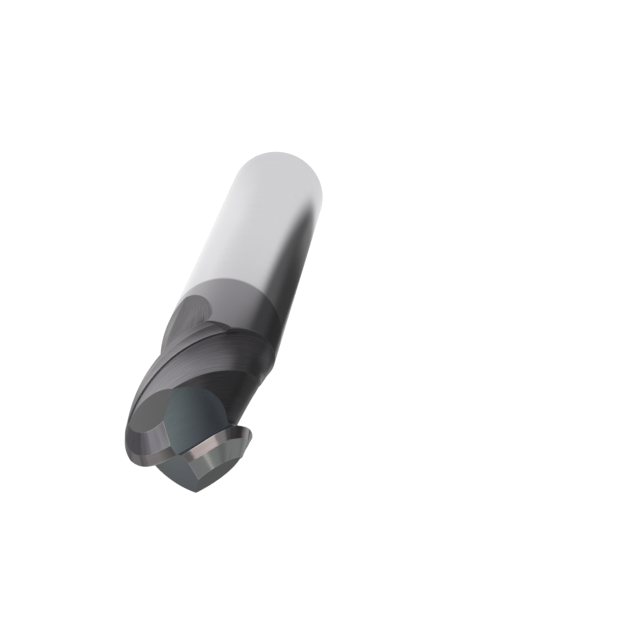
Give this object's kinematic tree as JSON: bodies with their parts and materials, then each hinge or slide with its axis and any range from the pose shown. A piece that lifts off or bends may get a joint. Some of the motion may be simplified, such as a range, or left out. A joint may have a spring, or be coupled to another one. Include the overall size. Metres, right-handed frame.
{
  "type": "ball end mill",
  "caption": "Solid carbide ball end mill with a helical fluted head, relieved ball edges, end gashes, a dark coated head and a plain ground shank.",
  "frame": {"origin": "centre of the flat shank end face, on the tool axis", "axes": "+Z along the tool axis from the shank end to the tip of the ball, +X through the place where the first tooth's cutting edge leaves the ball, +Y completes a right-handed frame"},
  "size_m": [0.006, 0.006, 0.05],
  "materials": {
    "coated_carbide": "ground carbide, the head with a dark grey nitride coating, the shank bare"
  },
  "bodies": {
    "root": {"end_mill": "coated_carbide"}
  },
  "joints": []
}
